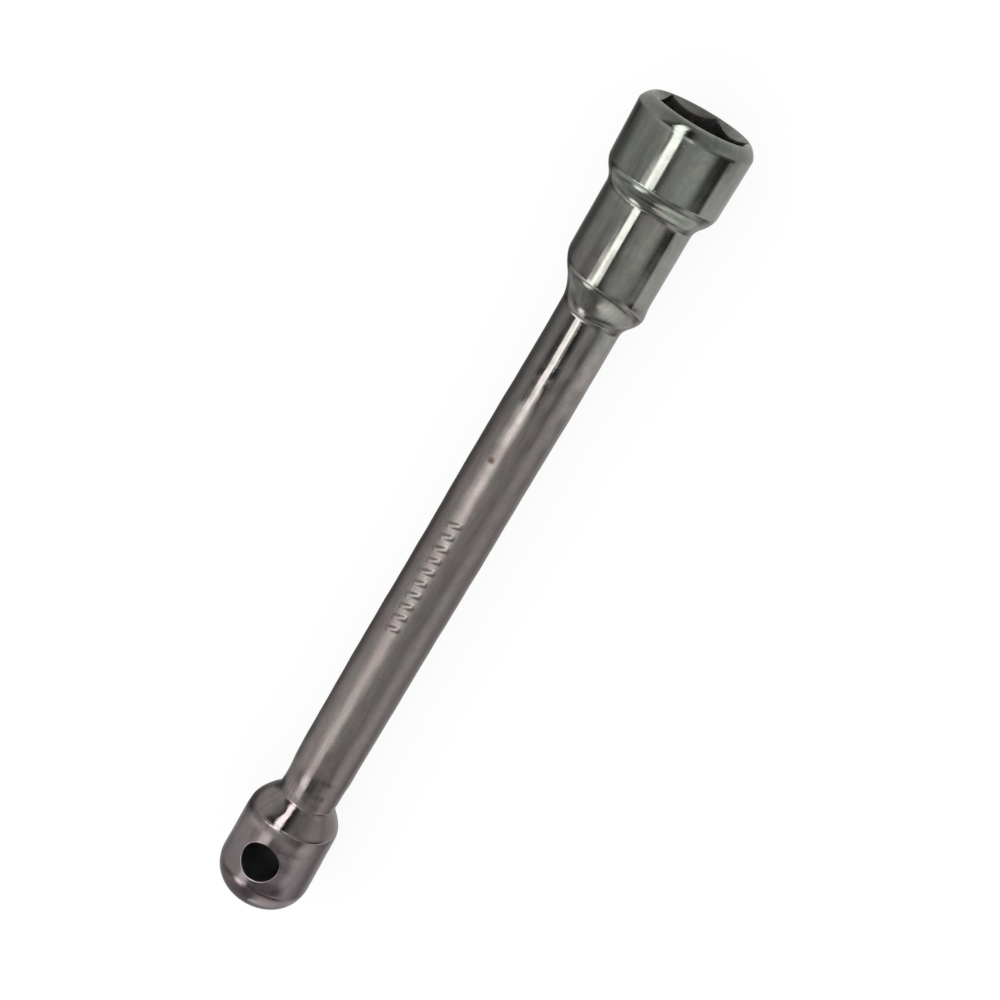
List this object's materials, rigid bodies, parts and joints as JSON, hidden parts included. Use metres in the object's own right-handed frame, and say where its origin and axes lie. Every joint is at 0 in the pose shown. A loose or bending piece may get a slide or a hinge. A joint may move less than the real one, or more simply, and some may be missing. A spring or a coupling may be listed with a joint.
{
  "type": "lug wrench",
  "caption": "Chrome-plated tommy-bar lug wrench: stepped hex socket, round shank and domed head with a cross hole for a loose bar held by a sprung ball.",
  "frame": {"origin": "centre of the socket's mouth, on the wrench's axis", "axes": "+X along the wrench's axis and out of the mouth, so the wrench lies at negative X; +Z along the tommy bar hole"},
  "size_m": [0.2364, 0.0296, 0.0296],
  "materials": {
    "socket_chrome": "polished chrome plate over forged steel",
    "shank_chrome": "chrome plate over the satin as-forged bar",
    "head_chrome": "polished chrome plate over forged steel",
    "ball_steel": "polished bearing steel",
    "spring_steel": "oiled spring wire"
  },
  "bodies": {
    "wrench": {"socket": "socket_chrome", "shank": "shank_chrome", "tommy_bar_head": "head_chrome", "detent_spring": "spring_steel"},
    "ball": {"detent_ball": "ball_steel"}
  },
  "joints": [
    {"name": "detent_slide", "type": "slide", "parent": "wrench", "child": "ball", "axis": [-1, 0, 0], "range_m": [-0.0005, 0.0005], "deforming": ["detent_spring"]}
  ]
}
